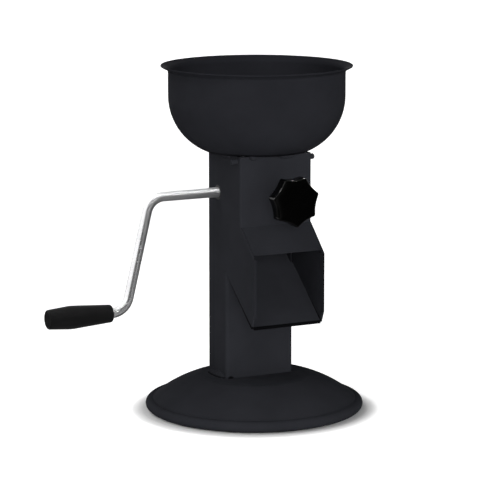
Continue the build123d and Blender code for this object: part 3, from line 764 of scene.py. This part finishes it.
def thread_tree():
    """Thread ridge: a helix of a small section about Z, rising from the origin."""
    tree, start = new_tree("screw_thread", ("Radius", "Depth", "Pitch", "Length"))
    crest = times(tree, start["Depth"], 0.5)
    middle = calc(tree, "SUBTRACT", start["Radius"], crest)
    shape = {
        "Resolution": THREAD_STEPS,
        "Rotations": calc(tree, "DIVIDE", start["Length"], start["Pitch"]),
        "Start Radius": middle,
        "End Radius": middle,
        "Height": start["Length"],
    }
    helix = add_node(tree, "GeometryNodeCurveSpiral", shape)
    ridge = tube(tree, helix["Curve"], crest, THREAD_SIDES)
    return finish_tree(tree, ridge, start["Material"])


def grow(name, points, tree, material, sizes):
    """Plain mesh that a tree makes from a path along points, with the tree's sizes and material set."""
    path = bpy.data.meshes.new(name)
    path.from_pydata(points, [(i, i + 1) for i in range(len(points) - 1)], [])
    piece = link(name, path)
    modifier = piece.modifiers.new(tree.name, "NODES")
    modifier.node_group = tree
    values = {**sizes, "Material": material}
    for item in tree.interface.items_tree:
        if item.in_out == "INPUT" and item.name in values:
            modifier[item.identifier] = values[item.name]
    return bake(piece)


# Operators, one for each piece or group of like pieces


class NUTCRACKER_OT_base(bpy.types.Operator):
    """Paint the pressed base and finish its bottom plate and mat"""

    bl_idname = "nutcracker.base"
    bl_label = "Base"

    def execute(self, context):
        sizes, finishes, _ = settings(context)
        softened("base_dome", "painted_base", frame_paint(finishes), "paint", sizes.edge_round)
        keep("bottom_plate", zinc_plate(finishes))
        keep("foot_mat", moulding("rubber", finishes))
        return {"FINISHED"}


class NUTCRACKER_OT_sheet_metal(bpy.types.Operator):
    """Paint the column, the cheeks, the front plate, the ramp and the bowl"""

    bl_idname = "nutcracker.sheet_metal"
    bl_label = "Sheet metal"

    def execute(self, context):
        sizes, finishes, _ = settings(context)
        paints = {
            "column": column_paint(finishes, sizes),
            "left_side_plate": cheek_paint("left_side_plate", finishes, sizes, finishes.left_edge_shade),
            "right_side_plate": cheek_paint("right_side_plate", finishes, sizes, finishes.right_edge_shade),
            "front_plate": frame_paint(finishes),
            "chute_ramp": ramp_paint(finishes, sizes),
        }
        for node, paint in paints.items():
            softened(node, "painted_" + node, paint, "paint", sizes.edge_round)
        softened("hopper_bowl", "painted_bowl", bowl_paint(finishes, sizes), "paint", sizes.edge_round)
        return {"FINISHED"}


class NUTCRACKER_OT_welds(bpy.types.Operator):
    """Lay the beads beside the column's foot and the short beads under the bowl"""

    bl_idname = "nutcracker.welds"
    bl_label = "Weld beads"

    def execute(self, context):
        sizes, finishes, _ = settings(context)
        foot_paint = bead_paint(finishes, sizes)
        foot = self.beads("foot_weld_beads", self.foot_lines(sizes), sizes, sizes.bead_radius, foot_paint)
        dress(foot, foot_paint, "paint", "column_foot_weld")
        paint = frame_paint(finishes)
        tacks = self.beads("bowl_weld_tacks", self.tack_lines(sizes), sizes, sizes.tack_radius, paint)
        dress(tacks, paint, "paint", "hopper_weld_beads")
        return {"FINISHED"}

    def foot_lines(self, sizes):
        """Lines along the two sides of the column's foot."""
        low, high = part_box("column")
        foot_low, foot_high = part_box("column_foot_weld")
        x = high.x - sizes.bead_inset
        z = low.z + sizes.bead_rise
        return [[(side * x, y, z) for y in (foot_low.y, 0.0, foot_high.y)] for side in (-1, 1)]

    def tack_lines(self, sizes):
        """Short lines under the bowl: two in front, one at each side and one behind."""
        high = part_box("column")[1]
        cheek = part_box("right_side_plate")[1]
        out = sizes.tack_offset
        z = high.z - out
        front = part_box("screw_nut")[0].y - sizes.sheet - out
        lines = []
        for place, half in (sizes.left_tack, sizes.right_tack):
            lines.append([(place + way * half, front, z) for way in (-1, 0, 1)])
        setback, half = sizes.side_tack
        for side in (-1, 1):
            x = side * (cheek.x + out)
            lines.append([(x, cheek.y - setback + way * half, z) for way in (-1, 0, 1)])
        lines.append([(way * sizes.rear_tack, high.y + out, z) for way in (-1, 0, 1)])
        return lines

    def beads(self, name, lines, sizes, radius, paint):
        """Beads of one radius along lines, as one piece."""
        values = {
            "Radius": radius,
            "Pitch": sizes.ripple_pitch,
            "Ripple": sizes.ripple_height,
            "Lump": sizes.lump_height,
            "Taper": sizes.bead_taper,
        }
        return merge(*(grow(name, line, bead_tree(), paint, values) for line in lines))


class NUTCRACKER_OT_crank(bpy.types.Operator):
    """Bend the polished rod and finish the rotor, its pin and the bushes"""

    bl_idname = "nutcracker.crank"
    bl_label = "Crank"

    def execute(self, context):
        sizes, finishes, _ = settings(context)
        self.rod(sizes, polished_steel(finishes, sizes))
        softened("rotor", "ribbed_rotor", machined_steel(finishes), "plain_steel", sizes.edge_round)
        keep("rotor_pin", machined_steel(finishes))
        for node in ("left_bush", "right_bush"):
            softened(node, "nylon_" + node, moulding("nylon", finishes), "bush_plastic", sizes.edge_round / 2)
        return {"FINISHED"}

    def rod(self, sizes, steel):
        """Rod bent along the shaft, the arm and the grip's axis, with chamfered ends."""
        low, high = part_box("crank_rod")
        shaft = joint_place("crank_spin")
        grip = joint_place("grip_spin")
        corners = [
            (high.x, shaft.y, shaft.z),
            (-sizes.rod_corner, shaft.y, shaft.z),
            (-sizes.rod_corner - sizes.rod_splay, shaft.y, grip.z),
            (low.x, shaft.y, grip.z),
        ]
        values = {"Radius": sizes.rod_radius, "Bend": sizes.rod_bend}
        rod = grow("polished_crank_rod", corners, rod_tree(), steel, values)
        round_edges(rod, "end_chamfer", sizes.rod_edge, END_ANGLE)
        bake(rod)
        shade(rod.data)
        dress(rod, steel, "bright_steel", "crank_rod")


class NUTCRACKER_OT_grip(bpy.types.Operator):
    """Finish the turning grip with its plug and retainer"""

    bl_idname = "nutcracker.grip"
    bl_label = "Grip"

    def execute(self, context):
        sizes, finishes, _ = settings(context)
        plastic = moulding("grip", finishes)
        softened("grip", "moulded_grip", plastic, "grip_plastic", sizes.edge_round)
        softened("grip_end_plug", "moulded_grip_plug", plastic, "grip_plastic", sizes.edge_round / 2)
        keep("grip_retainer", zinc_plate(finishes))
        return {"FINISHED"}


class NUTCRACKER_OT_jaw(bpy.types.Operator):
    """Finish the toothed jaw, its pivot pin and the spacers"""

    bl_idname = "nutcracker.jaw"
    bl_label = "Jaw"

    def execute(self, context):
        sizes, finishes, _ = settings(context)
        softened("jaw_plate", "toothed_jaw", machined_steel(finishes), "plain_steel", sizes.edge_round)
        softened("jaw_pivot_pin", "painted_pivot_pin", frame_paint(finishes), "paint", sizes.edge_round / 2)
        keep("pivot_spacers", zinc_plate(finishes))
        return {"FINISHED"}


def knob_outline(sizes, angle):
    """Radius of the knob's star at an angle from a lobe's middle: round lobes joined by round hollows."""
    half = pi / sizes.knob_lobes
    angle = (angle + half) % (2 * half) - half
    reach = sizes.knob_radius - sizes.knob_lobe
    floor = sizes.knob_radius - sizes.knob_scallop
    ahead = floor - reach * cos(half)
    aside = reach * sin(half)
    hollow = (ahead**2 + aside**2 - sizes.knob_lobe**2) / (2 * (sizes.knob_lobe - ahead))
    centre = floor + hollow
    lobe_reach = sizes.knob_lobe**2 - (reach * sin(angle)) ** 2
    from_hollow = half - abs(angle)
    hollow_reach = hollow**2 - (centre * sin(from_hollow)) ** 2
    on_lobe = reach * cos(angle) + sqrt(max(lobe_reach, 0.0))
    on_hollow = centre * cos(from_hollow) - sqrt(max(hollow_reach, 0.0))
    if lobe_reach <= 0.0:
        return on_hollow
    if hollow_reach <= 0.0:
        return on_lobe
    return min(on_lobe, on_hollow)


class NUTCRACKER_OT_adjuster(bpy.types.Operator):
    """Cut the screw's thread, mould the star knob and finish the nut and the pad"""

    bl_idname = "nutcracker.adjuster"
    bl_label = "Adjuster"

    def execute(self, context):
        sizes, finishes, _ = settings(context)
        low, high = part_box("adjusting_screw")
        middle = Vector((0, low.y, (low.z + high.z) / 2))
        self.screw(sizes, zinc_plate(finishes), middle, high.y - low.y)
        self.knob(sizes, moulding("knob", finishes), middle)
        softened("screw_nut", "zinc_screw_nut", zinc_plate(finishes), "zinc_steel", sizes.edge_round)
        steel = machined_steel(finishes)
        softened("pressure_pad", "turned_pressure_pad", steel, "plain_steel", sizes.edge_round / 2)
        return {"FINISHED"}

    def screw(self, sizes, zinc, front, whole):
        """Core with a turned nose and a thread ridge, which runs back from the middle of its front end."""
        place = Matrix.Translation(front) @ Matrix.Rotation(-pi / 2, 4, "X")
        long = whole - sizes.nose_length
        core = sizes.screw_radius - sizes.thread_depth
        outline = (
            (0.0, 0.0),
            (core, 0.0),
            (core, long - sizes.thread_depth),
            (core - sizes.thread_depth, long),
            (sizes.nose_radius, long),
            (sizes.nose_radius, whole),
            (0.0, whole),
        )
        piece = lathe("threaded_screw", outline, SCREW_STEPS, place)
        values = {
            "Radius": sizes.screw_radius,
            "Depth": sizes.ridge_depth,
            "Pitch": sizes.thread_pitch,
            "Length": long - 2 * sizes.thread_pitch,
        }
        ridge = grow("thread_ridge", [(0, 0, 0)], thread_tree(), zinc, values)
        ridge.data.transform(place @ Matrix.Translation((0, 0, sizes.thread_pitch)))
        dress(merge(piece, ridge), zinc, "zinc_steel", "adjusting_screw")

    def knob(self, sizes, plastic, bore_end):
        """Star head with rounded edges and a faintly dished front, on a round hub with the screw's bore."""
        low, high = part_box("star_knob")
        back = low.y + sizes.knob_head
        edge = sizes.knob_edge
        rear = edge / 2
        bevel = edge / 4
        bore = sizes.screw_radius + BORE_GAP
        hub = sizes.knob_hub
        turns = [pi / 2 * i / ROUND_STEPS for i in range(ROUND_STEPS + 1)]
        # Each ring has a share of the star's outline, a radius to add to it, and a place along Y
        rings = [
            (0.0, bore, bore_end.y),
            (0.0, bore, high.y),
            (0.0, hub - bevel, high.y),
            (0.0, hub, high.y - bevel),
            (0.0, hub, back + bevel),
            (0.0, hub + bevel, back),
            *((1.0, rear * (sin(a) - 1), back + rear * (cos(a) - 1)) for a in turns),
            *((1.0, edge * (cos(a) - 1), low.y + edge * (1 - sin(a))) for a in turns),
            (DISH_PART, -edge, low.y + sizes.knob_dish / 4),
        ]
        angles = full_turn(sizes.knob_lobes * LOBE_STEPS)
        star = [knob_outline(sizes, angle - sizes.knob_turn) for angle in angles]
        shape = bmesh.new()
        loops = []
        for part, offset, y in rings:
            radii = [part * reach + offset for reach in star]
            points = [(r * cos(a), y, bore_end.z + r * sin(a)) for r, a in zip(radii, angles)]
            loops.append([shape.verts.new(point) for point in points])
        loops.append([shape.verts.new((0.0, low.y + sizes.knob_dish, bore_end.z))])
        shape.faces.new(loops[0])
        dress(skin("moulded_star_knob", shape, loops), plastic, "knob_plastic", "star_knob")


def by_ray(tree, seen, rest):
    """One value for camera, glossy and transmission rays, and another for the rest."""
    path = add_node(tree, "ShaderNodeLightPath")
    both = calc(tree, "MAXIMUM", path["Is Camera Ray"], path["Is Glossy Ray"])
    looks = calc(tree, "MAXIMUM", both, path["Is Transmission Ray"])
    return calc(tree, "ADD", times(tree, looks, seen - rest), rest)


class NUTCRACKER_OT_studio(bpy.types.Operator):
    """Set up the floor, the lamps, the surroundings and the camera"""

    bl_idname = "nutcracker.studio"
    bl_label = "Studio"

    def execute(self, context):
        _, _, studio = settings(context)
        context.scene.view_settings.view_transform = "Standard"
        self.floor(studio)
        self.reflections(studio)
        self.surroundings(context, studio)
        self.lamp("key_lamp", studio.key_power, *KEY_LIGHT)
        self.lamp("fill_lamp", studio.fill_power, *FRONT_LIGHT, shadow=False)
        self.lamp("front_lamp", studio.front_power, *FRONT_LIGHT)
        self.lamp("side_lamp", studio.side_power, *SIDE_LIGHT)
        self.lamp("shine_lamp", studio.shine_power, *SHINE_LIGHT, shadow=False, shine=True)
        self.camera(context, studio)
        return {"FINISHED"}

    def floor(self, studio):
        """Wide pale floor that shows near white and keeps the shadow."""
        half = FLOOR_HALF
        mesh = bpy.data.meshes.new("studio_floor")
        corners = [(-half, -half, 0), (half, -half, 0), (half, half, 0), (-half, half, 0)]
        mesh.from_pydata(corners, [], [(0, 1, 2, 3)])
        levels = {"Base Color": tone(studio.floor_shade, 1.0), "Emission Color": WHITE}
        material, tree, shader = new_material("studio_floor", {**levels, "Specular IOR Level": 0.0})
        if tree is not None:
            near = add_node(tree, "ShaderNodeAmbientOcclusion", {"Distance": studio.shadow_reach})
            contact = calc(tree, "POWER", near["AO"], studio.shadow_depth)
            glow = by_ray(tree, studio.floor_glow, studio.floor_bounce)
            feed(tree, shader, {"Emission Strength": times(tree, glow, contact)})
        mesh.materials.append(material)
        link("studio_floor", mesh)

    def reflections(self, studio):
        """Card, window, strip, drops and cloth, which show only in reflections, under a white horizon."""
        lift = CLOTH_LIFT
        full = (0.0, 2.0 * pi)
        middle = ((0.0, lift), (studio.cloth_middle, lift), full)
        ring = ((studio.cloth_middle, lift), (studio.cloth_radius, lift), full)

        def wall(name, heights):
            radius = getattr(studio, name + "_radius")
            return *((radius, height) for height in heights), getattr(studio, name + "_edges")

        self.cloth("studio_card", studio.card_glow, wall("card", studio.card_heights))
        self.cloth("studio_cloth_middle", studio.cloth_grey, middle)
        self.cloth("studio_cloth", studio.cloth_dark, ring, wall("rear", (lift, studio.rear_height)))
        self.cloth("studio_front_drop", studio.screen_dark, wall("screen", (lift, studio.screen_height)))
        self.cloth("studio_window", studio.window_glow, wall("window", studio.window_heights))
        self.cloth("studio_strip", studio.strip_glow, wall("strip", (lift, studio.screen_height)))

    def cloth(self, name, glow, *strips):
        """Cloth made of strips, each between two (radius, height) pairs and two angles from +Y."""
        points = []
        faces = []
        for inner, outer, (first, last) in strips:
            start = len(points)
            for step in range(ARC_STEPS + 1):
                angle = first + (last - first) * step / ARC_STEPS
                points += [(-r * sin(angle), r * cos(angle), height) for r, height in (inner, outer)]
            faces += [(i, i + 1, i + 3, i + 2) for i in range(start, len(points) - 2, 2)]
        mesh = bpy.data.meshes.new(name)
        mesh.from_pydata(points, [], faces)
        levels = {"Base Color": BLACK, "Emission Color": WHITE, "Emission Strength": glow}
        mesh.materials.append(new_material(name, {**levels, "Specular IOR Level": 0.0})[0])
        cloth = link(name, mesh)
        for ray in ("camera", "diffuse", "transmission", "volume_scatter", "shadow"):
            setattr(cloth, "visible_" + ray, False)

    def surroundings(self, context, studio):
        """White where it is seen, and a soft even light elsewhere."""
        world = bpy.data.worlds.new("studio_world")
        world.use_nodes = True
        context.scene.world = world
        tree = world.node_tree
        light = tree.nodes["Background"]
        feed(tree, light, {"Color": WHITE, "Strength": by_ray(tree, 1.0, studio.ambient)})

    def lamp(self, name, power, way, softness, shadow=True, shine=False):
        """Distant soft lamp that lights surfaces without a shine, or that shows only as a shine."""
        data = bpy.data.lights.new(name, "SUN")
        data.energy = power
        data.angle = softness
        data.use_shadow = shadow
        data.cycles.use_multiple_importance_sampling = shadow
        lamp = link(name, data)
        lamp.visible_glossy = shine
        lamp.visible_diffuse = not shine
        lamp.rotation_euler = Vector(way).to_track_quat("-Z", "Y").to_euler()

    def camera(self, context, studio):
        """Camera at the viewing angle of a product picture."""
        data = bpy.data.cameras.new("studio_camera")
        data.lens = studio.camera_lens
        camera = link("studio_camera", data)
        camera.location = studio.camera_place
        camera.rotation_euler = (pi / 2 - studio.camera_pitch, 0.0, -studio.camera_turn)
        context.scene.camera = camera


OPERATORS = (
    NUTCRACKER_OT_base,
    NUTCRACKER_OT_sheet_metal,
    NUTCRACKER_OT_welds,
    NUTCRACKER_OT_crank,
    NUTCRACKER_OT_grip,
    NUTCRACKER_OT_jaw,
    NUTCRACKER_OT_adjuster,
    NUTCRACKER_OT_studio,
)


class NUTCRACKER_PT_sidebar(bpy.types.Panel):
    """Lists the pieces and the studio, and their settings"""

    bl_idname = "NUTCRACKER_PT_sidebar"
    bl_label = "Nutcracker"
    bl_space_type = "VIEW_3D"
    bl_region_type = "UI"
    bl_category = "Nutcracker"

    def draw(self, context):
        for operator in OPERATORS:
            self.layout.operator(operator.bl_idname)
        for group in settings(context):
            box = self.layout.box()
            for key in group.__annotations__:
                box.prop(group, key)


GROUPS = {
    "nutcracker_sizes": NutcrackerSizes,
    "nutcracker_finishes": NutcrackerFinishes,
    "nutcracker_studio": NutcrackerStudio,
}
CLASSES = (*GROUPS.values(), *OPERATORS, NUTCRACKER_PT_sidebar)


def register():
    """Registers the classes and puts the settings on the scene."""
    for item in CLASSES:
        bpy.utils.register_class(item)
    for name, group in GROUPS.items():
        setattr(bpy.types.Scene, name, PointerProperty(type=group))


def unregister():
    """Takes the settings and the classes away again."""
    for name in GROUPS:
        delattr(bpy.types.Scene, name)
    for item in reversed(CLASSES):
        bpy.utils.unregister_class(item)


def main():
    """Makes every piece and the studio."""
    register()
    for operator in OPERATORS:
        family, name = operator.bl_idname.split(".")
        getattr(getattr(bpy.ops, family), name)()


if __name__ == "__main__":
    main()
